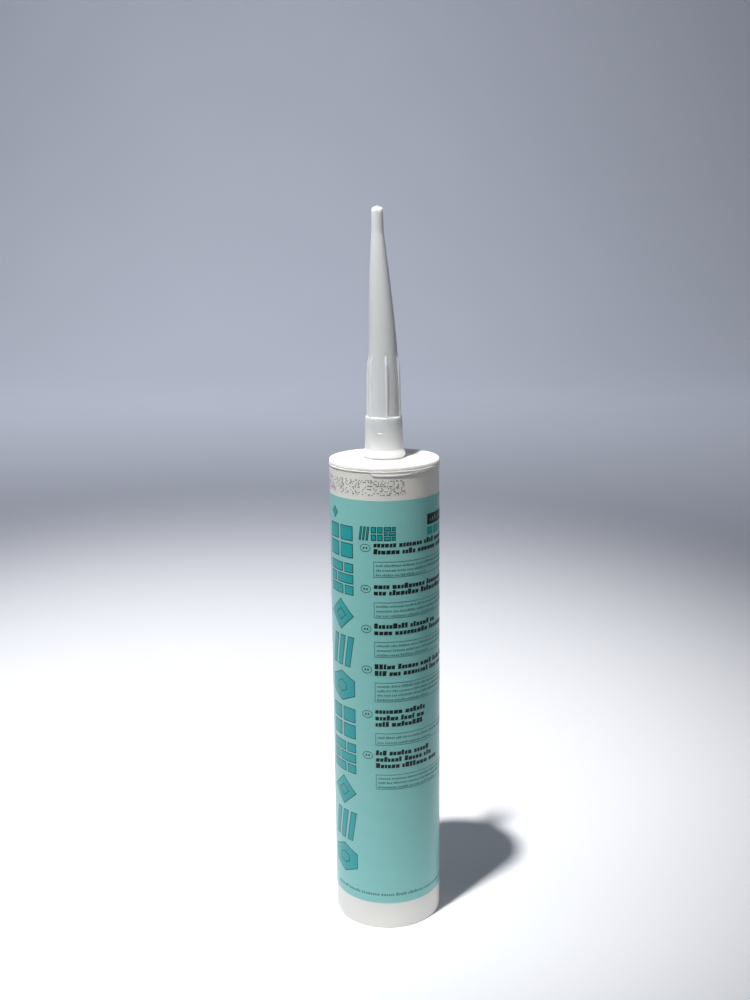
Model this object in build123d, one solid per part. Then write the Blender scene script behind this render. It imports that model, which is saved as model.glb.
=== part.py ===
"""A 310 ml sealant cartridge, in millimetres: a plastic tube with an open back,
a moulded front head with a threaded neck, a screw-on nozzle, a piston and the sealant.

The origin is the centre of the tube's back rim. +Z runs along the tube to the nozzle.
The nozzle leans towards -X, and its rib nearest the front (-Y) stands a little to +X.
"""

import os

from build123d import *

os.makedirs("parts", exist_ok=True)

# Tube
TUBE_DIAMETER = 49.4
TUBE_WALL = 1.4
TUBE_LENGTH = 216.3
RIM_CHAMFER = 0.3

# Head
PLATE_THICKNESS = 2.0
PLATE_EDGE_ROUND = 0.6
GROOVE_WIDTH = 0.5
GROOVE_DEPTH = 0.5
SPIGOT_LENGTH = 5.0
SPIGOT_WALL = 1.2
WELD_CLEARANCE = 0.02
SEAT_HEIGHT = 0.7
LAND_MARGIN = 0.7
LAND_DEPTH = 0.1
NECK_RADIUS = 6.3
NECK_WALL = 1.4
NECK_LENGTH = 17.2
NECK_CHAMFER = 0.3
MEMBRANE = 0.4
THREAD_PITCH = 2.6
THREAD_HEIGHT = 0.6
THREAD_TURNS = 5
THREAD_START = 2.2
THREAD_ROOT_WIDTH = 1.6
THREAD_CREST_WIDTH = 0.7
THREAD_SINK = 0.3

# Nozzle
NOZZLE_LENGTH = 108.4
NOZZLE_WALL = 1.2
THREAD_CLEARANCE = 0.3
SOCKET_CLEARANCE = 0.3
FLANGE_OVERHANG = 0.8
FLANGE_HEIGHT = 2.0
FLANGE_SLOPE_HEIGHT = 1.4
FLANGE_ROUND = 0.6
COLLAR_WALL = 0.95
COLLAR_DRAFT = 0.55
COLLAR_ROUND = 0.25
LEDGE_WIDTH = 0.6
LEDGE_THICKNESS = 1.2
WAIST_HEIGHT = 28.5
WAIST_RADIUS = 6.3
MIDDLE_RADIUS = 4.85
TIP_LENGTH = 10.9
TIP_RADIUS = 2.74
TIP_TAPER = 0.3
TIP_WALL = 1.5
TIP_ROUND = 1.5
TIP_LEAN = 1.97
RIB_COUNT = 6
RIB_ANGLE = 9.6
RIB_THICKNESS = 1.0
RIB_HEIGHT = 23.2
RIB_SETBACK = 0.05
RIB_TAPER = 0.5
RIB_END_SLOPE = 0.33
RIB_ROOT = 1.0

# Piston
PISTON_RECESS = 14.0
PISTON_LENGTH = 20.0
PISTON_CLEARANCE = 0.05
PISTON_WALL = 1.5
LIP_HEIGHT = 2.2
LIP_DEPTH = 0.9
LIP_SLOPE = 0.6
CROWN_HEIGHT = 4.5
CROWN_CLEARANCE = 0.6
CROWN_CHAMFER = 1.0
DIMPLE_RADIUS = 7.0
DIMPLE_DEPTH = 0.8
HUB_RADIUS = 5.0
PISTON_RIBS = 8
PISTON_RIB_DEPTH = 8.0
PISTON_RIB_THICKNESS = 1.2

# Sealant
FILL_CLEARANCE = 0.05
CROWN_FILL_CLEARANCE = 0.3

# How near a circle must be to count as the edge that is looked for
MATCH = 0.01

# Levels and radii that several pieces share
tube_radius = TUBE_DIAMETER / 2
bore_radius = tube_radius - TUBE_WALL
plate_bottom = TUBE_LENGTH + GROOVE_WIDTH
shoulder = plate_bottom + PLATE_THICKNESS
seat_level = shoulder + SEAT_HEIGHT
spigot_end = TUBE_LENGTH - SPIGOT_LENGTH
spigot_radius = bore_radius - WELD_CLEARANCE
spigot_bore_radius = spigot_radius - SPIGOT_WALL

neck_top = shoulder + NECK_LENGTH
neck_bore_radius = NECK_RADIUS - NECK_WALL
crest_radius = NECK_RADIUS + THREAD_HEIGHT
socket_radius = crest_radius + THREAD_CLEARANCE
socket_top = neck_top + SOCKET_CLEARANCE

collar_top = socket_top + LEDGE_THICKNESS
collar_top_radius = socket_radius + COLLAR_WALL
collar_foot_radius = collar_top_radius + COLLAR_DRAFT
flange_radius = collar_foot_radius + FLANGE_OVERHANG
land_radius = flange_radius + LAND_MARGIN
body_foot_radius = collar_top_radius - LEDGE_WIDTH
waist_level = collar_top + WAIST_HEIGHT
nozzle_top = seat_level + NOZZLE_LENGTH
tip_foot = nozzle_top - TIP_LENGTH
tip_end_radius = TIP_RADIUS - TIP_TAPER

piston_front = PISTON_RECESS + PISTON_LENGTH
crown_foot = piston_front - CROWN_HEIGHT
lip_radius = bore_radius - PISTON_CLEARANCE
crown_radius = spigot_bore_radius - CROWN_CLEARANCE


def turned(points):
    """A solid of revolution about the Z axis, from (radius, height) points."""
    outline = Plane.XZ * make_face(Polyline(points, close=True))
    return revolve(outline, Axis.Z)


def disc(radius, low, high):
    """A cylinder about the Z axis between two heights."""
    return Pos(0, 0, low) * Cylinder(radius, high - low, align=(Align.CENTER, Align.CENTER, Align.MIN))


def edges_at(solid, height, radius):
    """The circular edges of this radius at this height."""
    rings = solid.edges().filter_by(GeomType.CIRCLE)
    near = rings.filter_by(lambda e: abs(e.center().Z - height) < MATCH)
    return near.filter_by(lambda e: abs(e.radius - radius) < MATCH)


def barrel():
    """Extruded tube, open at the back, with the edges of its back rim broken."""
    tube = disc(tube_radius, 0, TUBE_LENGTH) - disc(bore_radius, 0, TUBE_LENGTH)
    return chamfer(edges_at(tube, 0, tube_radius) + edges_at(tube, 0, bore_radius), RIM_CHAMFER)


def neck_thread():
    """One helical ridge of trapezoidal section, sunk a little into the neck."""
    root = NECK_RADIUS - THREAD_SINK
    half_root = THREAD_ROOT_WIDTH / 2
    half_crest = THREAD_CREST_WIDTH / 2
    corners = [
        (root, -half_root),
        (crest_radius, -half_crest),
        (crest_radius, half_crest),
        (root, half_root),
    ]
    section = Plane.XZ * make_face(Polyline(corners, close=True))
    helix = Helix(THREAD_PITCH, THREAD_TURNS * THREAD_PITCH, NECK_RADIUS)
    ridge = sweep(section, path=helix, is_frenet=True)
    return Pos(0, 0, seat_level + THREAD_START) * ridge


def head():
    """Front plate that closes the tube, its spigot inside the bore, and the threaded neck."""
    plate = disc(tube_radius, plate_bottom, shoulder)
    plate = fillet(edges_at(plate, shoulder, tube_radius), PLATE_EDGE_ROUND)
    plate += disc(tube_radius - GROOVE_DEPTH, TUBE_LENGTH, plate_bottom)
    plate += disc(spigot_radius, spigot_end, TUBE_LENGTH)
    plate -= disc(spigot_bore_radius, spigot_end, TUBE_LENGTH)
    plate -= disc(land_radius, shoulder - LAND_DEPTH, shoulder)
    plate += disc(collar_foot_radius, shoulder - LAND_DEPTH, seat_level)
    neck = disc(NECK_RADIUS, shoulder, neck_top)
    neck = chamfer(edges_at(neck, neck_top, NECK_RADIUS), NECK_CHAMFER)
    return plate + neck + neck_thread() - disc(neck_bore_radius, TUBE_LENGTH, neck_top - MEMBRANE)


def leaning_cone(inset, foot):
    """The nozzle's body: circles that shrink and move towards -X, joined by one smooth skin."""
    stations = [
        (foot, 0, body_foot_radius),
        (waist_level, 0, WAIST_RADIUS),
        ((waist_level + tip_foot) / 2, -TIP_LEAN / 2, MIDDLE_RADIUS),
        (tip_foot, -TIP_LEAN, TIP_RADIUS),
    ]
    return loft([Pos(shift, 0, level) * Circle(radius - inset) for level, shift, radius in stations])


def tip(inset, top):
    """The nozzle's slim end, almost a cylinder, over the leaning cone."""
    height = top - tip_foot
    align = (Align.CENTER, Align.CENTER, Align.MIN)
    return Pos(-TIP_LEAN, 0, tip_foot) * Cone(TIP_RADIUS - inset, tip_end_radius - inset, height, align=align)


def nozzle_foot():
    """Flange and collar round the socket, turned about the neck's axis."""
    flange_top = seat_level + FLANGE_HEIGHT
    collar_foot = flange_top + FLANGE_SLOPE_HEIGHT
    foot = turned(
        [
            (0, seat_level),
            (flange_radius, seat_level),
            (flange_radius, flange_top),
            (collar_foot_radius, collar_foot),
            (collar_top_radius, collar_top),
            (0, collar_top),
        ]
    )
    foot = fillet(edges_at(foot, seat_level, flange_radius), FLANGE_ROUND)
    foot = fillet(edges_at(foot, flange_top, flange_radius), FLANGE_ROUND)
    foot = fillet(edges_at(foot, collar_foot, collar_foot_radius), FLANGE_ROUND)
    return fillet(edges_at(foot, collar_top, collar_top_radius), COLLAR_ROUND)


def nozzle_rib(angle):
    """A thin fin from the ledge, level with the collar, to a sloped end on the cone."""
    low = collar_top - RIB_ROOT
    high = collar_top + RIB_HEIGHT
    outer_low = collar_top_radius - RIB_SETBACK
    outer_high = outer_low - RIB_TAPER
    root = WAIST_RADIUS - RIB_ROOT
    end = high + (outer_high - root) / RIB_END_SLOPE
    corners = [(root, low), (outer_low, low), (outer_high, high), (root, end)]
    side = Plane.XZ * make_face(Polyline(corners, close=True))
    return Rot(0, 0, angle) * extrude(side, RIB_THICKNESS / 2, both=True)


def nozzle():
    """Tapered nozzle with a closed tip, hollow all the way up, over the head's neck."""
    outside = nozzle_foot() + leaning_cone(0, collar_top) + tip(0, nozzle_top)
    for index in range(RIB_COUNT):
        outside += nozzle_rib(RIB_ANGLE - 90 + index * 360 / RIB_COUNT)
    outside = fillet(edges_at(outside, nozzle_top, tip_end_radius), min(TIP_ROUND, tip_end_radius * 0.8))
    inside = disc(socket_radius, seat_level, socket_top)
    inside += leaning_cone(NOZZLE_WALL, socket_top)
    inside += tip(NOZZLE_WALL, nozzle_top - TIP_WALL)
    return outside - inside


def piston():
    """Cup with two sealing lips, its crown to the front, ribs and a hub in its back."""
    waist = lip_radius - LIP_DEPTH
    body = turned(
        [
            (0, PISTON_RECESS),
            (lip_radius, PISTON_RECESS),
            (lip_radius, PISTON_RECESS + LIP_HEIGHT),
            (waist, PISTON_RECESS + LIP_HEIGHT + LIP_SLOPE),
            (waist, crown_foot - LIP_HEIGHT - LIP_SLOPE),
            (lip_radius, crown_foot - LIP_HEIGHT),
            (lip_radius, crown_foot),
            (crown_radius, crown_foot),
            (crown_radius, piston_front - CROWN_CHAMFER),
            (crown_radius - CROWN_CHAMFER, piston_front),
            (0, piston_front),
        ]
    )
    ceiling = piston_front - DIMPLE_DEPTH - PISTON_WALL
    hollow = disc(waist - PISTON_WALL, PISTON_RECESS, crown_foot - PISTON_WALL)
    hollow += disc(crown_radius - PISTON_WALL, PISTON_RECESS, ceiling)
    body -= hollow
    body -= disc(DIMPLE_RADIUS, piston_front - DIMPLE_DEPTH, piston_front)
    rib_foot = ceiling - PISTON_RIB_DEPTH
    ribs = disc(HUB_RADIUS, rib_foot, ceiling) - disc(HUB_RADIUS - PISTON_RIB_THICKNESS, rib_foot, ceiling)
    reach = crown_radius - PISTON_WALL / 2 - HUB_RADIUS + PISTON_RIB_THICKNESS / 2
    middle = HUB_RADIUS - PISTON_RIB_THICKNESS / 2 + reach / 2
    rib = Pos(middle, 0, (rib_foot + ceiling) / 2) * Box(reach, PISTON_RIB_THICKNESS, PISTON_RIB_DEPTH)
    for index in range(PISTON_RIBS):
        ribs += Rot(0, 0, index * 360 / PISTON_RIBS) * rib
    return body + ribs


def sealant():
    """The fill, from the piston's lip to the head and up the neck to its membrane."""
    fill = disc(bore_radius - FILL_CLEARANCE, crown_foot, spigot_end)
    fill += disc(spigot_bore_radius - FILL_CLEARANCE, spigot_end, TUBE_LENGTH)
    fill += disc(neck_bore_radius - FILL_CLEARANCE, TUBE_LENGTH, neck_top - MEMBRANE)
    return fill - disc(crown_radius + CROWN_FILL_CLEARANCE, crown_foot, piston_front)


NODES = {
    "barrel": barrel,
    "head": head,
    "nozzle": nozzle,
    "piston": piston,
    "sealant": sealant,
}

for name, make in NODES.items():
    solid = make()
    solid.label = name
    export_step(solid, f"parts/{name}.step")
    print(name, round(solid.volume), "mm3,", len(solid.solids()), "solid")
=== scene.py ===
# %% [markdown]
# # A sealant cartridge
# The real object is a white polyethylene tube with a moulded head, a milky screw-on
# nozzle, a piston in its open back, and a teal print all round. The CAD model gives the
# five mouldings at their real size. This lesson adds what CAD leaves out: the finish of
# each plastic, the print, the weld's rough lip and the marks that moulding leaves.
# Everything is in metres, in the CAD model's own frame: +Z up, the printed front at -Y.

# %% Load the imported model
import math
import random

import bmesh
import bpy
from mathutils import Matrix, Vector


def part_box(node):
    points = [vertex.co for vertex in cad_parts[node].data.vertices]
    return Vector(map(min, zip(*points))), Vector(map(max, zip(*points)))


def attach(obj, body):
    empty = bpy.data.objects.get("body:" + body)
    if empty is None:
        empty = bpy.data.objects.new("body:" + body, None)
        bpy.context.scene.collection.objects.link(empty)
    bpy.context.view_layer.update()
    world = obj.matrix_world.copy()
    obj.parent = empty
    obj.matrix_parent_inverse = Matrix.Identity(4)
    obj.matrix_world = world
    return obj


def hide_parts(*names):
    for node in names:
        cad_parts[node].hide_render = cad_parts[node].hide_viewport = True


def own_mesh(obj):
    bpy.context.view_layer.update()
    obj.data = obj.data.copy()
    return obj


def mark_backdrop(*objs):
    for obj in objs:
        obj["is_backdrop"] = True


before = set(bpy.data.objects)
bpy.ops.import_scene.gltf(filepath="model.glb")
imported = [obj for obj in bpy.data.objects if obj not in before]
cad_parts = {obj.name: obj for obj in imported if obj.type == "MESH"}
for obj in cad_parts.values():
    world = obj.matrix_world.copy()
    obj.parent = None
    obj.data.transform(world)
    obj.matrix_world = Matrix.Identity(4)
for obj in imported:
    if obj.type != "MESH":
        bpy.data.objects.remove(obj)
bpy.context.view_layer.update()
MM = 0.001
print("nodes:", sorted(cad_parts))

# %% Sizes read from the model
barrel_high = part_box("barrel")[1]
nozzle_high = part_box("nozzle")[1]
RADIUS = barrel_high.x
TUBE_TOP = barrel_high.z
print("tube radius", round(RADIUS / MM, 2), "mm, top rim", round(TUBE_TOP / MM, 2), "mm")

# %% [markdown]
# ## Colours and nodes
# Hex colours are sRGB, as a paint chart gives them, and shaders want linear light, so one
# function turns them. Another adds a shader node with its settings, values and links, so
# that each material below reads as a short list of nodes.


# %% Two helpers
def linear(hex_colour):
    """An sRGB hex colour as linear RGBA."""
    channels = [int(hex_colour[i : i + 2], 16) / 255 for i in (1, 3, 5)]
    return [c / 12.92 if c <= 0.04045 else ((c + 0.055) / 1.055) ** 2.4 for c in channels] + [1.0]


def add_node(material, kind, inputs=None, **settings):
    """Adds a node. An input that is given a socket is linked to it, and any other is set."""
    tree = material.node_tree
    made = tree.nodes.new(kind)
    for name, value in settings.items():
        setattr(made, name, value)
    for name, value in (inputs or {}).items():
        if isinstance(value, bpy.types.NodeSocket):
            tree.links.new(value, made.inputs[name])
        else:
            made.inputs[name].default_value = value
    return made


print("teal in linear light:", [round(c, 3) for c in linear("#3fa59c")])

# %% [markdown]
# ## Camera
# A normal lens at about half a metre, nearly as high as the nozzle's tip and looking down
# by some 12 degrees, shows the head's face as a thin ellipse. It also draws the tube's
# sides together a little towards the floor. The three turns are given apart, so that each
# can be read: heading, tilt and roll.

# %% Camera
CAMERA_AT = Vector((0.0, -0.5307, 0.3133))
LOOK_DOWN = math.radians(12.15)
HEADING = math.radians(0.470)
ROLL = math.radians(-0.661)
LENS_MM = 43.24
SENSOR_MM = 36.0

camera_data = bpy.data.cameras.new("camera")
camera_data.sensor_fit = "VERTICAL"
camera_data.sensor_height = SENSOR_MM
camera_data.lens = LENS_MM
camera_data.clip_start = 0.01
camera = bpy.data.objects.new("camera", camera_data)
bpy.context.scene.collection.objects.link(camera)
heading = Matrix.Rotation(HEADING, 4, "Z")
tilt = Matrix.Rotation(math.radians(90) - LOOK_DOWN, 4, "X")
camera.matrix_world = Matrix.Translation(CAMERA_AT) @ heading @ tilt @ Matrix.Rotation(ROLL, 4, "Z")
bpy.context.scene.camera = camera
bpy.context.scene.view_settings.view_transform = "Standard"
print("camera at", [round(v, 3) for v in CAMERA_AT], "lens", LENS_MM, "mm")

# %% [markdown]
# ## Floor, backdrop and light
# A studio sweep is one sheet of pale paper: flat under the object, then a wide bend, then
# up. Here an edge is extruded along the floor, spun a quarter turn for the bend and
# extruded up. One small lamp, high and to the front left, gives the short, fairly sharp
# shadow. A broad, weak panel washes the paper behind, one weak panel on each side lifts the
# tube's edges, and a dim world fills the shadows.

# %% Sweep
SWEEP_WIDTH = 8.0
FLOOR_FRONT = -2.5
FLOOR_BACK = 2.2
BEND_RADIUS = 1.5
WALL_HEIGHT = 4.0
BEND_STEPS = 32


def paint_paper():
    """Matt studio paper: nearly white, with the faintest uneven tone."""
    paper = bpy.data.materials.new("matt_background_paper")
    paper.use_nodes = True
    paper.node_tree.nodes.clear()
    place = add_node(paper, "ShaderNodeTexCoord")
    mottle = add_node(
        paper,
        "ShaderNodeTexNoise",
        {"Vector": place.outputs["Object"], "Scale": 3.0, "Detail": 2.0},
    )
    tone = add_node(
        paper,
        "ShaderNodeMix",
        {0: mottle.outputs["Fac"], 6: linear("#e4e7ef"), 7: linear("#eaecf4")},
        data_type="RGBA",
    )
    matt = add_node(
        paper,
        "ShaderNodeBsdfPrincipled",
        {"Base Color": tone.outputs[2], "Roughness": 0.9},
    )
    add_node(paper, "ShaderNodeOutputMaterial", {"Surface": matt.outputs[0]})
    return paper


def make_sweep():
    """Floor, bend and wall as one sheet."""
    bm = bmesh.new()
    ends = [bm.verts.new((side * SWEEP_WIDTH / 2, FLOOR_FRONT, 0)) for side in (-1, 1)]
    edge = [bm.edges.new(ends)]
    made = bmesh.ops.extrude_edge_only(bm, edges=edge)["geom"]
    moved = [g for g in made if isinstance(g, bmesh.types.BMVert)]
    bmesh.ops.translate(bm, verts=moved, vec=(0, FLOOR_BACK - FLOOR_FRONT, 0))
    edge = [g for g in made if isinstance(g, bmesh.types.BMEdge)]
    bent = bmesh.ops.spin(
        bm,
        geom=edge,
        cent=(0, FLOOR_BACK, BEND_RADIUS),
        axis=(1, 0, 0),
        angle=math.radians(90),
        steps=BEND_STEPS,
    )["geom_last"]
    edge = [g for g in bent if isinstance(g, bmesh.types.BMEdge)]
    made = bmesh.ops.extrude_edge_only(bm, edges=edge)["geom"]
    moved = [g for g in made if isinstance(g, bmesh.types.BMVert)]
    bmesh.ops.translate(bm, verts=moved, vec=(0, 0, WALL_HEIGHT))
    for face in bm.faces:
        face.smooth = True
    bmesh.ops.recalc_face_normals(bm, faces=bm.faces)
    mesh = bpy.data.meshes.new("sweep")
    bm.to_mesh(mesh)
    bm.free()
    sweep = bpy.data.objects.new("sweep", mesh)
    bpy.context.scene.collection.objects.link(sweep)
    mesh.materials.append(paint_paper())
    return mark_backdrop(sweep)


make_sweep()
print("sweep", SWEEP_WIDTH, "m wide, wall from", FLOOR_BACK + BEND_RADIUS, "m back")

# %% Lamp, fill and wash
LAMP_DIRECTION = Vector((-31.0, -42.0, 219.0)).normalized()
LAMP_DISTANCE = 1.1
LAMP_RADIUS = 0.0225
LAMP_BEAM = 57.0
LAMP_WATTS = 68.0
WORLD_STRENGTH = 0.07


def place_light(data, place, target, watts, colour):
    """Puts a light at a place, facing a point."""
    data.energy = watts
    data.color = linear(colour)[:3]
    light = bpy.data.objects.new(data.name, data)
    bpy.context.scene.collection.objects.link(light)
    light.location = place
    light.rotation_euler = (Vector(place) - Vector(target)).to_track_quat("Z", "Y").to_euler()
    print(data.name, [round(v, 2) for v in place], watts, "W")


def add_panel(name, place, target, size, watts, colour, spread=180.0):
    """A rectangular soft panel, with its light spread over this angle."""
    data = bpy.data.lights.new(name, "AREA")
    data.shape = "RECTANGLE"
    data.spread = math.radians(spread)
    data.size, data.size_y = size
    place_light(data, place, target, watts, colour)


lamp_data = bpy.data.lights.new("lamp", "SPOT")
lamp_data.shadow_soft_size = LAMP_RADIUS
lamp_data.spot_size = math.radians(LAMP_BEAM)
lamp_data.spot_blend = 1.0
place_light(lamp_data, LAMP_DIRECTION * LAMP_DISTANCE, (-0.135, 0.21, 0), LAMP_WATTS, "#fffdf8")
add_panel("wash", (-0.45, 1.45, 1.9), (-0.35, 2.7, 0.2), (2.0, 0.5), 23.0, "#eef2fd", spread=160.0)
add_panel("right_fill", (0.9, -1.1, 0.7), (0, 0, 0.2), (0.7, 0.7), 3.0, "#f6f4f0")
add_panel("left_fill", (-1.5, -0.2, 0.7), (0, 0, 0.15), (0.9, 0.9), 2.0, "#eef2ff")

world = bpy.data.worlds.new("studio")
bpy.context.scene.world = world
world.use_nodes = True
sky = world.node_tree.nodes["Background"]
sky.inputs["Color"].default_value = linear("#c9cfdc")
sky.inputs["Strength"].default_value = WORLD_STRENGTH
print("world strength", WORLD_STRENGTH)

# %% [markdown]
# ## The plastics
# Four of the five pieces are polyethylene, but they don't look alike. The extruded tube is
# satin, with faint lines along its length from the die. The moulded head and piston have
# the even, slightly pebbled skin of a spark-eroded mould. The nozzle is the natural,
# unpigmented grade. Light enters a milky wall and scatters below its skin, over a
# millimetre or more. All of them share one recipe: a faintly cloudy tone, a fine bump and
# that scattering, which is left out only for details too thin to hold it.


# %% A recipe for polyethylene
def polyethylene(name, light, dark, roughness, grain_mm, grain_height_mm, scatter, stretch=1.0):
    """Milky plastic: cloudy tone, fine grain, and scattering below the skin."""
    plastic = bpy.data.materials.new(name)
    plastic.use_nodes = True
    plastic.node_tree.nodes.clear()
    place = add_node(plastic, "ShaderNodeTexCoord")
    drawn = add_node(
        plastic,
        "ShaderNodeMapping",
        {"Vector": place.outputs["Object"], "Scale": (1.0, 1.0, 1.0 / stretch)},
    )
    clouds = add_node(
        plastic,
        "ShaderNodeTexNoise",
        {"Vector": place.outputs["Object"], "Scale": 45.0, "Detail": 3.0},
    )
    tone = add_node(
        plastic,
        "ShaderNodeMix",
        {0: clouds.outputs["Fac"], 6: linear(dark), 7: linear(light)},
        data_type="RGBA",
    )
    grain = add_node(
        plastic,
        "ShaderNodeTexNoise",
        {"Vector": drawn.outputs["Vector"], "Scale": 1 / (grain_mm * MM), "Detail": 4.0},
    )
    bump = add_node(
        plastic,
        "ShaderNodeBump",
        {"Height": grain.outputs["Fac"], "Strength": 1.0, "Distance": grain_height_mm * MM},
    )
    gloss = add_node(
        plastic,
        "ShaderNodeMapRange",
        {"Value": clouds.outputs["Fac"], "To Min": roughness - 0.05, "To Max": roughness + 0.05},
    )
    skin = add_node(
        plastic,
        "ShaderNodeBsdfPrincipled",
        {
            "Base Color": tone.outputs[2],
            "Roughness": gloss.outputs["Result"],
            "IOR": 1.51,
            "Normal": bump.outputs["Normal"],
        },
    )
    weight, depth_mm = scatter
    skin.inputs["Subsurface Weight"].default_value = weight
    skin.inputs["Subsurface Radius"].default_value = (1.0, 0.9, 0.82)
    skin.inputs["Subsurface Scale"].default_value = depth_mm * MM
    add_node(plastic, "ShaderNodeOutputMaterial", {"Surface": skin.outputs[0]})
    return plastic


# Extruded high-density tube: satin, with the fine lines that the die leaves along it.
tube_plastic = polyethylene(
    "extruded_hdpe_tube", "#ecebe6", "#e5e4df", 0.36, 1.2, 0.006, scatter=(0.3, 1.5), stretch=14.0
)
# Moulded head: whiter and a little rougher.
head_plastic = polyethylene(
    "moulded_hdpe_head", "#fefcf9", "#faf8f4", 0.42, 0.35, 0.006, scatter=(1.0, 4.0)
)
# Natural low-density nozzle: the milkiest, because its wall is thin and has no pigment.
nozzle_plastic = polyethylene(
    "moulded_ldpe_nozzle", "#fdfdff", "#f9f9fc", 0.34, 0.6, 0.008, scatter=(1.0, 7.0), stretch=5.0
)
# Moulded piston: plain natural white.
piston_plastic = polyethylene(
    "moulded_hdpe_piston", "#e6e5df", "#dddcd5", 0.48, 0.4, 0.01, scatter=(0.3, 2.0)
)
# A detail thinner than the scattering depth has no glow of its own, so it gets none.
thin_plastic = polyethylene(
    "polyethylene_thin_detail", "#f6f4ef", "#efede8", 0.3, 0.5, 0.008, scatter=(0.0, 1.0)
)
# The fill is a smooth paste, barely clear at its edges.
silicone_paste = polyethylene(
    "silicone_sealant_paste", "#e8eae9", "#dee1e0", 0.25, 4.0, 0.03, scatter=(0.6, 3.0)
)


def finish_node(name, material):
    """Gives a CAD node its one material."""
    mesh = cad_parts[name].data
    mesh.materials.clear()
    mesh.materials.append(material)


finish_node("barrel", tube_plastic)
finish_node("head", head_plastic)
finish_node("nozzle", nozzle_plastic)
finish_node("piston", piston_plastic)
finish_node("sealant", silicone_paste)
print("plastics:", len(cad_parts), "nodes finished")

# %% [markdown]
# ## Inks
# A cartridge is printed by dry offset, straight on the round tube. The ink is a film of a
# few hundredths of a millimetre with a soft sheen, and a big field of it is never quite
# even: it shows faint streaks round the tube, where the blanket rolled it on.


# %% Offset ink
def offset_ink(name, light, dark, roughness):
    """A thin satin ink film, with faint streaks round the tube."""
    ink = bpy.data.materials.new(name)
    ink.use_nodes = True
    ink.node_tree.nodes.clear()
    place = add_node(ink, "ShaderNodeTexCoord")
    rolled = add_node(
        ink,
        "ShaderNodeMapping",
        {"Vector": place.outputs["Object"], "Scale": (1.0, 1.0, 6.0)},
    )
    streaks = add_node(
        ink,
        "ShaderNodeTexNoise",
        {"Vector": rolled.outputs["Vector"], "Scale": 60.0, "Detail": 5.0, "Roughness": 0.6},
    )
    tone = add_node(
        ink,
        "ShaderNodeMix",
        {0: streaks.outputs["Fac"], 6: linear(dark), 7: linear(light)},
        data_type="RGBA",
    )
    orange_peel = add_node(
        ink,
        "ShaderNodeTexNoise",
        {"Vector": place.outputs["Object"], "Scale": 700.0, "Detail": 2.0},
    )
    bump = add_node(
        ink,
        "ShaderNodeBump",
        {"Height": orange_peel.outputs["Fac"], "Strength": 1.0, "Distance": 0.004 * MM},
    )
    film = add_node(
        ink,
        "ShaderNodeBsdfPrincipled",
        {
            "Base Color": tone.outputs[2],
            "Roughness": roughness,
            "IOR": 1.5,
            "Normal": bump.outputs["Normal"],
        },
    )
    add_node(ink, "ShaderNodeOutputMaterial", {"Surface": film.outputs[0]})
    return ink


teal_ink = offset_ink("offset_ink_teal", "#8accc9", "#84c6c3", 0.34)
deep_ink = offset_ink("offset_ink_deep_teal", "#12a6a8", "#109ea0", 0.36)
line_ink = offset_ink("offset_ink_dark_teal", "#1f5557", "#1b4e50", 0.36)
black_ink = offset_ink("offset_ink_black", "#0d1514", "#0a100f", 0.4)
fine_ink = offset_ink("offset_ink_fine_print", "#528a88", "#4b8280", 0.36)
pale_ink = offset_ink("offset_ink_pale_lines", "#8fa5a3", "#869c9a", 0.36)
code_ink = offset_ink("inkjet_code_grey", "#7c7c78", "#6f6f6b", 0.5)
print("inks: 7")

# %% [markdown]
# ## Flat shapes, wrapped round the tube
# Print is easiest to set out flat. Each shape is drawn on a plane where X is the distance
# round the tube from its front line, and Y is the height above the back rim. Wide shapes
# are cut into narrow strips so that they can bend. Then every point is rolled round the
# tube, and the film is given its thickness outwards. Every layer is a closed shell, and
# each lies on the one below, as ink does.

# %% Rolling a flat shape round the tube
INK_MM = 0.035
STRIP_MM = 1.2
FIELD_LAYER = 0
PRINT_LAYER = 1
TOP_LAYER = 2


def grow(bm, verts, centre, size):
    """Scales a unit shape to a size and puts it at a centre, both in millimetres."""
    bmesh.ops.scale(bm, vec=(size[0] * MM, size[1] * MM, 1), verts=verts)
    bmesh.ops.translate(bm, vec=(centre[0] * MM, centre[1] * MM, 0), verts=verts)
    return verts


def add_bar(bm, left, right, low, high, slant=0.0):
    """A rectangle, or a slanted one whose top is moved sideways."""
    made = bmesh.ops.create_grid(bm, x_segments=1, y_segments=1, size=0.5)["verts"]
    grow(bm, made, ((left + right) / 2, (low + high) / 2), (right - left, high - low))
    middle = (low + high) / 2 * MM
    top = [v for v in made if v.co.y > middle]
    bmesh.ops.translate(bm, vec=(slant * MM, 0, 0), verts=top)
    return made


def add_round(bm, centre, size, sides=32, turn=0.0):
    """A circle, oval or regular polygon of this size."""
    made = bmesh.ops.create_circle(bm, cap_ends=True, segments=sides, radius=0.5)["verts"]
    bmesh.ops.rotate(bm, verts=made, matrix=Matrix.Rotation(turn, 3, "Z"))
    return grow(bm, made, centre, size)


def faces_of(verts):
    """The faces that these new points make."""
    return list({face for v in verts for face in v.link_faces})


def cut_strips(bm):
    """Cuts the flat shapes along the tube's length, so that they can bend."""
    xs = [v.co.x for v in bm.verts]
    step = STRIP_MM * MM
    for index in range(math.ceil(min(xs) / step), math.floor(max(xs) / step) + 1):
        geometry = bm.verts[:] + bm.edges[:] + bm.faces[:]
        bmesh.ops.bisect_plane(bm, geom=geometry, plane_co=(index * step, 0, 0), plane_no=(1, 0, 0))
    bmesh.ops.dissolve_degenerate(bm, dist=0.001 * MM, edges=bm.edges[:])


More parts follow.
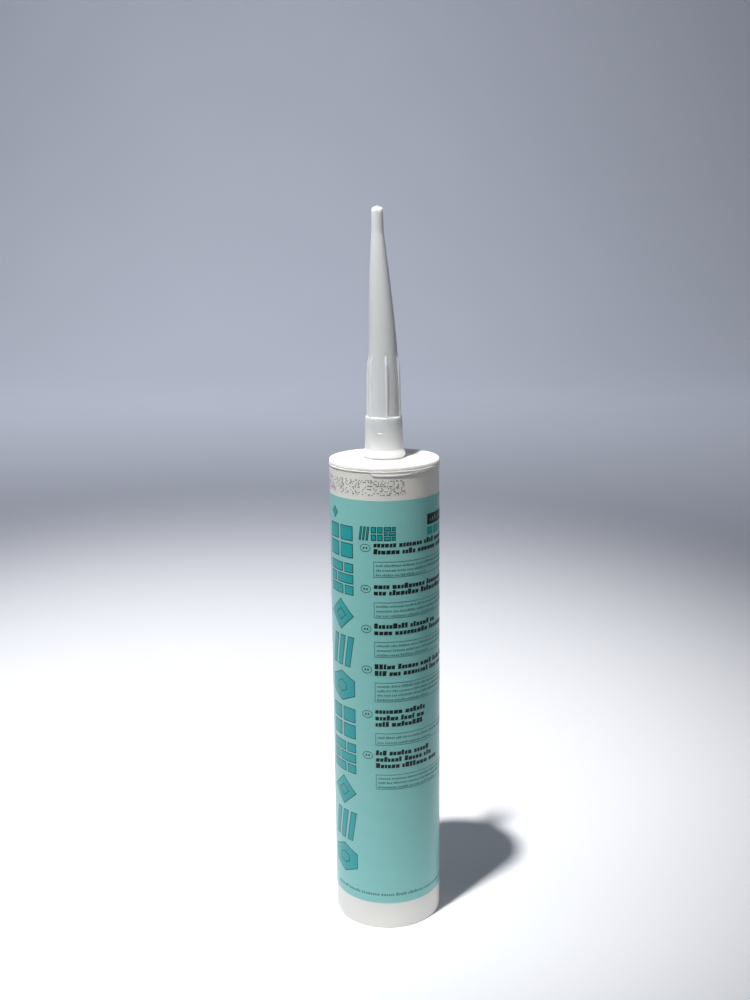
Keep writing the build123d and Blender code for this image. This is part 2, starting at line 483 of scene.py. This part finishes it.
def roll(bm, under_mm, over_mm):
    """Rolls a flat film round the tube, between two heights above the tube's skin."""
    for face in bm.faces:
        if face.normal.z < 0:
            face.normal_flip()
    top = bmesh.ops.extrude_face_region(bm, geom=bm.faces[:], use_keep_orig=True)["geom"]
    lifted = {g for g in top if isinstance(g, bmesh.types.BMVert)}
    for v in bm.verts:
        angle = v.co.x / RADIUS
        out = RADIUS + (over_mm if v in lifted else under_mm) * MM
        v.co = (out * math.sin(angle), -out * math.cos(angle), v.co.y)
    bmesh.ops.recalc_face_normals(bm, faces=bm.faces)


def finish_piece(name, bm, materials, body="cartridge", sharp_degrees=35.0):
    """Makes the finished object and lets it ride on its body."""
    for face in bm.faces:
        face.smooth = True
    mesh = bpy.data.meshes.new(name)
    bm.to_mesh(mesh)
    bm.free()
    mesh.set_sharp_from_angle(angle=math.radians(sharp_degrees))
    piece = bpy.data.objects.new(name, mesh)
    bpy.context.scene.collection.objects.link(piece)
    for material in materials:
        mesh.materials.append(material)
    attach(piece, body)
    print(name, len(mesh.polygons), "faces")
    return piece


def print_piece(name, bm, materials, layer, strips=True):
    """One printed layer: strips, roll, finish."""
    if strips:
        cut_strips(bm)
    bm.normal_update()
    roll(bm, layer * INK_MM, (layer + 1) * INK_MM)
    return finish_piece(name, bm, materials)


# %% [markdown]
# ## The teal field
# The field goes all the way round, so it isn't rolled from a flat shape. One upright edge
# spun a full turn makes the sleeve, and solidify gives the film its thickness. The spin
# merges its last step into its first, so there is no seam.

# %% Teal field
FIELD_LOW_MM = 12.7
FIELD_HIGH_MM = 203.8
ROUND_STEPS = 256


def make_sleeve(name, low_mm, high_mm, lift_mm, thick_mm, materials):
    """A thin closed ring round the tube between two heights."""
    bm = bmesh.new()
    radius = RADIUS + lift_mm * MM
    ends = [bm.verts.new((0, -radius, level * MM)) for level in (low_mm, high_mm)]
    edge = bm.edges.new(ends)
    bmesh.ops.spin(
        bm, geom=[edge], cent=(0, 0, 0), axis=(0, 0, 1), angle=math.tau, steps=ROUND_STEPS, use_merge=True
    )
    bmesh.ops.recalc_face_normals(bm, faces=bm.faces)
    if sum(f.normal.dot(f.calc_center_median().xy.to_3d()) for f in bm.faces) < 0:
        bmesh.ops.reverse_faces(bm, faces=bm.faces)
    bmesh.ops.solidify(bm, geom=bm.faces[:], thickness=-thick_mm * MM)
    bmesh.ops.recalc_face_normals(bm, faces=bm.faces)
    return finish_piece(name, bm, materials)


make_sleeve("teal_field", FIELD_LOW_MM, FIELD_HIGH_MM, 0.0, INK_MM, [teal_ink])

# %% [markdown]
# ## A column of blocks up the side
# The side of such a cartridge carries a tall column of bold blocks with a dark outline.
# Here they are plain geometry: a hexagon with a ring, slanted bars, a diamond, bricks and
# squares, in a steady rhythm. Each shape is drawn once in the dark ink. The same shape,
# inset by the width of the outline, is drawn again on top of it in the lighter ink. The
# print is set out twice, half a turn apart, because a cartridge is printed on both sides.

# %% Tools for outlined shapes
HALF_TURN_MM = math.pi * RADIUS / MM
PANELS = (0.0, HALF_TURN_MM)
OUTLINE_MM = 0.45


def add_shape(bm, shape, shift):
    """Draws a shape given as sides, slant, centre and size. No sides means a bar."""
    sides, slant, (x, y), (wide, tall) = shape
    if sides:
        return add_round(bm, (x + shift, y), (wide, tall), sides)
    return add_bar(bm, x + shift - wide / 2, x + shift + wide / 2, y - tall / 2, y + tall / 2, slant)


def keep_inside(bm, made, margin_mm):
    """Trims an even margin off a shape."""
    inset = {"thickness": margin_mm * MM, "use_even_offset": True, "use_boundary": True}
    rim = bmesh.ops.inset_region(bm, faces=faces_of(made), **inset)["faces"]
    bmesh.ops.delete(bm, geom=rim, context="FACES")


def keep_line(bm, made, line_mm):
    """Leaves only an even line round a shape."""
    inside = faces_of(made)
    inset = {"thickness": line_mm * MM, "use_even_offset": True, "use_boundary": True}
    bmesh.ops.inset_region(bm, faces=inside, **inset)
    bmesh.ops.delete(bm, geom=inside, context="FACES_ONLY")


def outlined_pieces(name, shapes):
    """The dark and the lighter layer of these shapes, on both sides of the tube."""
    dark = bmesh.new()
    light = bmesh.new()
    for shift in PANELS:
        for shape in shapes:
            add_shape(dark, shape, shift)
            keep_inside(light, add_shape(light, shape, shift), OUTLINE_MM)
    print_piece(name + "_outlines", dark, [line_ink], PRINT_LAYER)
    print_piece(name + "_fills", light, [deep_ink], TOP_LAYER)


# %% Block column
COLUMN_LEFT_MM = -31.5
COLUMN_WIDE_MM = 16.5
COLUMN_LOW_MM = 24.1
BLOCK_TALL_MM = 14.6
BLOCK_PITCH_MM = 17.0
BLOCK_COUNT = 10
HEXAGON_STRETCH = 2 / math.sqrt(3)


def block_shapes(kind, x, y, wide, tall):
    """The shapes of one block about its centre."""
    if kind == "hexagon":
        return [(6, 0, (x, y), (wide * HEXAGON_STRETCH, tall))]
    if kind == "diamond":
        return [(4, 0, (x, y), (wide, tall))]
    if kind == "bars":
        lean = 0.16 * wide
        bar = 0.22 * wide
        return [(0, lean, (x + step * 0.31 * wide - lean / 2, y), (bar, tall)) for step in (-1, 0, 1)]
    if kind == "bricks":
        long_brick = 0.62 * wide
        short_brick = 0.32 * wide
        shapes = []
        for row in (-1, 0, 1):
            side = -1 if row == 0 else 1
            height = y + row * tall * 0.35
            shapes.append((0, 0, (x - side * (wide - long_brick) / 2, height), (long_brick, tall * 0.3)))
            shapes.append((0, 0, (x + side * (wide - short_brick) / 2, height), (short_brick, tall * 0.3)))
        return shapes
    square = (0.46 * wide, 0.46 * tall)
    return [
        (0, 0, (x + side * 0.27 * wide, y + level * 0.27 * tall), square)
        for side in (-1, 1)
        for level in (-1, 1)
    ]


KINDS = ("hexagon", "bars", "diamond", "bricks", "squares")
column = []
rings = bmesh.new()
for index in range(BLOCK_COUNT):
    kind = KINDS[index % len(KINDS)]
    x = COLUMN_LEFT_MM + COLUMN_WIDE_MM / 2
    y = COLUMN_LOW_MM + BLOCK_TALL_MM / 2 + index * BLOCK_PITCH_MM
    column += block_shapes(kind, x, y, COLUMN_WIDE_MM, BLOCK_TALL_MM)
    if kind in ("hexagon", "diamond"):
        sides = 6 if kind == "hexagon" else 4
        for shift in PANELS:
            made = add_round(rings, (x + shift, y), (COLUMN_WIDE_MM * 0.45, BLOCK_TALL_MM * 0.42), sides)
            keep_line(rings, made, OUTLINE_MM)
column.append((4, 0, (-27.0, 196.7), (5.0, 5.6)))
outlined_pieces("column", column)
RING_LAYER = TOP_LAYER + 1
print_piece("column_rings", rings, [line_ink], RING_LAYER)

# %% [markdown]
# ## Small blocks above the text
# Three small outlined blocks head the text columns, and a dark bar with pale ticks stands
# at their right with three small squares under it. They are smaller than the column's
# blocks, so they are built by the same functions.

# %% Small blocks, dark bar and squares
SMALL_BLOCKS = (("bars", -9.4), ("squares", -3.6), ("bricks", 2.1))
small = []
for kind, x in SMALL_BLOCKS:
    small += block_shapes(kind, x, 189.2, 5.2, 6.2)
outlined_pieces("small", small)

dark_bar = bmesh.new()
ticks = bmesh.new()
squares = bmesh.new()
for shift in PANELS:
    add_bar(dark_bar, 21.0 + shift, 40.0 + shift, 191.2, 196.0)
    for index in range(8):
        tall = 1.0 + 0.7 * (index % 3)
        left = 23.0 + index * 1.9 + shift
        add_bar(ticks, left, left + 0.7, 192.6, 192.6 + tall)
    for index in range(3):
        left = 21.0 + index * 5.0 + shift
        add_bar(squares, left, left + 4.0, 186.6, 190.2)
print_piece("dark_bar", dark_bar, [black_ink], PRINT_LAYER)
print_piece("dark_bar_ticks", ticks, [pale_ink], TOP_LAYER)
print_piece("small_squares", squares, [deep_ink], PRINT_LAYER)

# %% [markdown]
# ## Text columns without words
# Printed text is mostly rhythm: bars of about a letter's width, in words of uneven length,
# with every fourth letter or so a little taller. Those bars alone stand for the headings
# and for the fine print, so nothing can be read. Each column has an empty oval at its
# left, a bold heading and a box of fine print, as on a part sold in several languages.
# The dice are seeded, so every run sets the same lines.

# %% Headings, ovals, boxes and fine print
TEXT_LEFT_MM = -5.2
TEXT_RIGHT_MM = 40.0
HEADING_MM = 2.35
FINE_MM = 1.0
BOX_LINE_MM = 0.2


def add_words(bm, left, right, low, tall, letter_mm, gap_mm, dice):
    """One line of letter-wide bars in words, from left to right."""
    x = left
    while True:
        for _ in range(dice.randint(3, 9)):
            wide = letter_mm * dice.uniform(0.7, 1.3)
            if x + wide > right:
                return
            high = tall * dice.choice((0.7, 0.7, 0.74, 1.0))
            add_bar(bm, x, x + wide, low, low + high, dice.uniform(0.0, 0.12) * tall)
            x += wide + gap_mm
        x += letter_mm * 0.7


# Oval height, then headings as (bottom, right end), then the box's bottom, top and line count.
TEXT_BLOCKS = (
    (182.7, ((183.2, 40), (180.1, 38)), (169.6, 176.7, 3)),
    (164.1, ((164.4, 37), (161.5, 40)), (151.0, 158.2, 3)),
    (145.7, ((146.2, 27), (143.2, 36)), (132.8, 140.0, 3)),
    (126.8, ((127.3, 39), (124.2, 35)), (111.8, 120.9, 4)),
    (105.7, ((106.3, 19), (103.1, 20), (100.1, 20)), (91.1, 96.8, 2)),
    (85.9, ((86.3, 23.5), (83.2, 23.5), (80.1, 28)), (69.7, 76.8, 3)),
)

dice = random.Random(41)
ovals = bmesh.new()
headings = bmesh.new()
boxes = bmesh.new()
fine_print = bmesh.new()
for shift in PANELS:
    for oval_height, lines, (box_low, box_high, count) in TEXT_BLOCKS:
        made = add_round(ovals, (-8.9 + shift, oval_height), (4.9, 3.6))
        keep_line(ovals, made, 0.28)
        add_bar(ovals, -10.0 + shift, -9.2 + shift, oval_height - 0.45, oval_height + 0.45)
        add_bar(ovals, -8.7 + shift, -7.9 + shift, oval_height - 0.45, oval_height + 0.45)
        for low, right in lines:
            add_words(headings, TEXT_LEFT_MM + shift, right + shift, low, HEADING_MM, 1.5, 0.32, dice)
        made = add_bar(boxes, TEXT_LEFT_MM + shift, TEXT_RIGHT_MM + shift, box_low, box_high)
        keep_line(boxes, made, BOX_LINE_MM)
        pitch = (box_high - box_low) / (count + 0.35)
        for index in range(count):
            low = box_high - 0.35 * pitch - (index + 1) * pitch + 0.55 * (pitch - FINE_MM)
            right = TEXT_RIGHT_MM - 1.0 if index < count - 1 else dice.uniform(18, 30)
            add_words(fine_print, TEXT_LEFT_MM + 1.0 + shift, right + shift, low, FINE_MM, 0.62, 0.2, dice)
    add_words(fine_print, -29.0 + shift, 36.0 + shift, 16.4, 1.5, 0.8, 0.3, dice)
print_piece("ovals", ovals, [line_ink], PRINT_LAYER)
print_piece("headings", headings, [black_ink], PRINT_LAYER)
print_piece("text_boxes", boxes, [line_ink], PRINT_LAYER)
print_piece("fine_print", fine_print, [fine_ink], PRINT_LAYER)

# %% [markdown]
# ## The inkjet row
# The row on the bare top band is put on last, by an inkjet that fires dots in columns of
# nine. What it prints is a code, so here each cell only gets a scatter of dots, as in a
# machine-readable mark: seeded dice decide which of them fire.

# %% Inkjet dots
CELL_PITCH_MM = 2.9
CELL_COLUMNS = 5
CELL_ROWS = 9
DOT_MM = 0.5
DOT_SHARE = 0.34

code = bmesh.new()
code_dice = random.Random(7)
for cell in range(15):
    for c in range(CELL_COLUMNS):
        for r in range(CELL_ROWS):
            if code_dice.random() < DOT_SHARE:
                x = -33.6 + cell * CELL_PITCH_MM + c * 0.5 + code_dice.uniform(-0.05, 0.05)
                y = 206.4 + r * 0.77 + code_dice.uniform(-0.05, 0.05)
                add_round(code, (x, y), (DOT_MM, DOT_MM), 8)
print_piece("inkjet_dots", code, [code_ink], FIELD_LAYER)

# %% [markdown]
# ## The weld's flash
# The head is friction-welded into the tube, and a little melt is squeezed out of the joint.
# It fills the groove under the head's rim as a bright, uneven bead. At the front right it
# also ran down a millimetre or so, as a thin smear with a thicker, ragged lip. The bead is
# a small circle spun round the tube and made uneven. The smear is a flat strip with a
# ragged lower edge, rolled on like the print but thicker.

# %% Bead round the joint
BEAD_HEIGHT_MM = 216.4
BEAD_STEPS = 360

bead = bmesh.new()
section = bmesh.ops.create_circle(bead, cap_ends=False, segments=10, radius=1.0 * MM)["verts"]
bmesh.ops.rotate(bead, verts=section, matrix=Matrix.Rotation(math.radians(90), 3, "X"))
bmesh.ops.scale(bead, vec=(0.28, 1.0, 0.36), verts=section)
bmesh.ops.translate(bead, vec=(RADIUS - 0.1 * MM, 0, BEAD_HEIGHT_MM * MM), verts=section)
bmesh.ops.spin(
    bead, geom=bead.edges[:], axis=(0, 0, 1), angle=math.tau, steps=BEAD_STEPS, use_merge=True
)
bead_dice = random.Random(12)
waves = [(count, bead_dice.uniform(0, math.tau)) for count in (3, 7, 13, 29, 53)]
for v in bead.verts:
    angle = math.atan2(v.co.y, v.co.x)
    sway = sum(math.sin(count * angle + phase) for count, phase in waves) / len(waves)
    v.co.z += sway * 0.16 * MM
    v.co.xy *= 1 + sway * 0.06 * MM / RADIUS
bmesh.ops.recalc_face_normals(bead, faces=bead.faces)
finish_piece("weld_bead", bead, [thin_plastic])

# %% Smear and its lip
# Distance round the tube and height of the smear's lower edge, in millimetres.
SMEAR_EDGE = (
    (-5.5, 215.6),
    (-4.8, 214.6),
    (4.0, 214.5),
    (11.5, 214.9),
    (13.0, 215.6),
    (14.2, 214.9),
    (15.6, 215.7),
    (17.0, 215.2),
    (27.0, 215.5),
    (39.0, 215.9),
)
SMEAR_TOP_MM = 216.2
LIP_MM = 0.42


def edge_height(x):
    """The smear's lower edge at this distance round the tube."""
    for (left, low), (right, high) in zip(SMEAR_EDGE, SMEAR_EDGE[1:]):
        if x <= right:
            return low + (high - low) * max(0.0, x - left) / (right - left)
    return SMEAR_EDGE[-1][1]


def ragged_strip(top_mm, over_mm, name):
    """A strip from the ragged edge up to a height, or up by the lip's width if that is None."""
    bm = bmesh.new()
    left, right = SMEAR_EDGE[0][0], SMEAR_EDGE[-1][0]
    made = bmesh.ops.create_grid(bm, x_segments=150, y_segments=1, size=0.5)["verts"]
    bmesh.ops.scale(bm, vec=((right - left) * MM, MM, 1), verts=made)
    bmesh.ops.translate(bm, vec=((left + right) / 2 * MM, 0, 0), verts=made)
    edge_dice = random.Random(5)
    for v in sorted(made, key=lambda point: (round(point.co.x / MM, 3), point.co.y)):
        if v.co.y < 0:
            low = edge_height(v.co.x / MM) + edge_dice.uniform(-0.06, 0.06)
            v.co.y = low * MM
        else:
            v.co.y = (low + LIP_MM if top_mm is None else top_mm) * MM
    bm.normal_update()
    roll(bm, 0.0, over_mm)
    return finish_piece(name, bm, [thin_plastic])


ragged_strip(SMEAR_TOP_MM, 0.07, "weld_smear")
ragged_strip(None, 0.2, "weld_lip")

# %% [markdown]
# ## Inside and on the nozzle
# The nozzle screws on, so its socket carries a thread of its own. One small triangle,
# spun several turns while it climbs, makes the ridge; its root is sunk in the wall and its
# crest stops just short of the neck's thread. The collar has the short bar that a mould
# leaves to show where the thread starts, and the tip keeps the stub of the gate.

# %% Socket thread
THREAD_ROOT_MM = 7.26
THREAD_CREST_MM = 6.98
THREAD_PITCH_MM = 2.6
THREAD_TURNS = 4
THREAD_START_MM = 221.6
RIDGE_HEIGHT = 0.45  # against the first circle's radius of 1 mm
STEPS_A_TURN = 72

thread = bmesh.new()
profile = bmesh.ops.create_circle(thread, cap_ends=True, segments=3, radius=1.0 * MM)["verts"]
bmesh.ops.rotate(thread, verts=profile, matrix=Matrix.Rotation(math.radians(90), 3, "X"))
bmesh.ops.rotate(thread, verts=profile, matrix=Matrix.Rotation(math.radians(90), 3, "Y"))
inner = min(v.co.x for v in profile)
outer = max(v.co.x for v in profile)
depth = (THREAD_ROOT_MM - THREAD_CREST_MM) * MM / (outer - inner)
bmesh.ops.scale(thread, vec=(depth, 1.0, RIDGE_HEIGHT), verts=profile)
inner = min(v.co.x for v in profile)
shift = THREAD_CREST_MM * MM - inner
bmesh.ops.translate(thread, vec=(shift, 0, THREAD_START_MM * MM), verts=profile)
bmesh.ops.spin(
    thread,
    geom=thread.edges[:],
    axis=(0, 0, 1),
    dvec=(0, 0, THREAD_PITCH_MM / STEPS_A_TURN * MM),
    angle=math.tau * THREAD_TURNS,
    steps=STEPS_A_TURN * THREAD_TURNS,
)
open_edges = [edge for edge in thread.edges if edge.is_boundary]
bmesh.ops.holes_fill(thread, edges=open_edges, sides=3)
bmesh.ops.recalc_face_normals(thread, faces=thread.faces)
finish_piece("socket_thread", thread, [nozzle_plastic], body="nozzle")

# %% Start bar and gate stub
START_BAR_MM = Vector((2.8, 0.7, 0.6))
START_BAR_AT_MM = Vector((-1.2, -8.1, 230.4))
START_BAR_EDGE_MM = 0.15
STUB_FOOT_MM = 0.6
STUB_TOP_MM = 0.4
STUB_TALL_MM = 0.5
STUB_LIFT_MM = 0.05
TIP_BAND_MM = 0.02

bar = bmesh.new()
made = bmesh.ops.create_cube(bar, size=1.0)["verts"]
bmesh.ops.scale(bar, vec=START_BAR_MM * MM, verts=made)
bmesh.ops.bevel(
    bar,
    geom=bar.edges[:],
    offset=START_BAR_EDGE_MM * MM,
    segments=3,
    profile=0.5,
    affect="EDGES",
    material=-1,
)
bmesh.ops.translate(bar, vec=START_BAR_AT_MM * MM, verts=bar.verts[:])
finish_piece("start_bar", bar, [thin_plastic], body="nozzle")

stub = bmesh.new()
bmesh.ops.create_cone(
    stub,
    cap_ends=True,
    segments=24,
    radius1=STUB_FOOT_MM * MM,
    radius2=STUB_TOP_MM * MM,
    depth=STUB_TALL_MM * MM,
)
tip_level = nozzle_high.z - TIP_BAND_MM * MM
tip_rim = [v.co.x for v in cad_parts["nozzle"].data.vertices if v.co.z > tip_level]
tip_middle = (min(tip_rim) + max(tip_rim)) / 2
bmesh.ops.translate(stub, vec=(tip_middle, 0, nozzle_high.z + STUB_LIFT_MM * MM), verts=stub.verts[:])
finish_piece("gate_stub", stub, [thin_plastic], body="nozzle")
print("middle of the tip at x", round(tip_middle / MM, 2), "mm")

# %% [markdown]
# ## The fill that the piston pushes
# The fill is soft, and it has to make way as the piston slides. A real one leaves by the
# neck. Here it is built in three parts, because the room at the far end is stepped: a core
# about as wide as the piston's crown goes right up to the neck, a sleeve round it stops at
# the spigot, and a plug fills the neck. Core and sleeve start a small gap above the piston,
# and all three stay still.

# %% Levels and radii of the fill
SAME_LEVEL_MM = 0.02
fill_points = [v.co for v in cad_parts["sealant"].data.vertices]
fill_levels = sorted({round(point.z / MM, 2) for point in fill_points})
foot_mm, crown_mm, spigot_mm, plate_mm, membrane_mm = fill_levels


def fill_radii(level_mm):
    """The fill's radii at a level, smallest first, in mm."""
    level = [point for point in fill_points if abs(point.z / MM - level_mm) < SAME_LEVEL_MM]
    return sorted({round(point.to_2d().length / MM, 2) for point in level})


core_mm, bore_mm = fill_radii(foot_mm)
neck_mm = fill_radii(membrane_mm)[-1]

# %% Core, sleeve and neck plug
PASTE_GAP_MM = 0.05
PASTE_SIDES = 96


def shorten(piece):
    """Gives the piece its own copy of its mesh."""
    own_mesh(piece)


def paste_rod(name, radius_mm, low_mm, high_mm):
    """A round rod of paste between two levels."""
    bm = bmesh.new()
    rod = bmesh.ops.create_cone(
        bm,
        cap_ends=True,
        segments=PASTE_SIDES,
        radius1=radius_mm * MM,
        radius2=radius_mm * MM,
        depth=(high_mm - low_mm) * MM,
    )["verts"]
    bmesh.ops.translate(bm, vec=(0, 0, (low_mm + high_mm) / 2 * MM), verts=rod)
    return finish_piece(name, bm, [silicone_paste])


sleeve = bmesh.new()
wall = bmesh.ops.create_grid(sleeve, x_segments=1, y_segments=1, size=0.5)["verts"]
bmesh.ops.delete(sleeve, geom=sleeve.faces[:], context="FACES_ONLY")
bmesh.ops.rotate(sleeve, verts=wall, matrix=Matrix.Rotation(math.radians(90), 3, "X"))
sleeve_foot_mm = foot_mm + PASTE_GAP_MM
wall_size = ((bore_mm - core_mm) * MM, 1.0, (spigot_mm - sleeve_foot_mm) * MM)
bmesh.ops.scale(sleeve, vec=wall_size, verts=wall)
wall_middle = ((core_mm + bore_mm) / 2 * MM, 0, (sleeve_foot_mm + spigot_mm) / 2 * MM)
bmesh.ops.translate(sleeve, vec=wall_middle, verts=wall)
bmesh.ops.spin(
    sleeve,
    geom=sleeve.edges[:],
    axis=(0, 0, 1),
    angle=math.tau,
    steps=PASTE_SIDES,
    use_merge=True,
)
bmesh.ops.recalc_face_normals(sleeve, faces=sleeve.faces)
paste_sleeve = finish_piece("paste_sleeve", sleeve, [silicone_paste])
shorten(paste_sleeve)

core_foot_mm = crown_mm + PASTE_GAP_MM
paste_core = paste_rod("paste_core", core_mm - PASTE_GAP_MM, core_foot_mm, plate_mm)
shorten(paste_core)

neck_plug = paste_rod("paste_neck_plug", neck_mm, plate_mm, membrane_mm)
for piece in (paste_sleeve, paste_core, neck_plug):
    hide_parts("sealant")
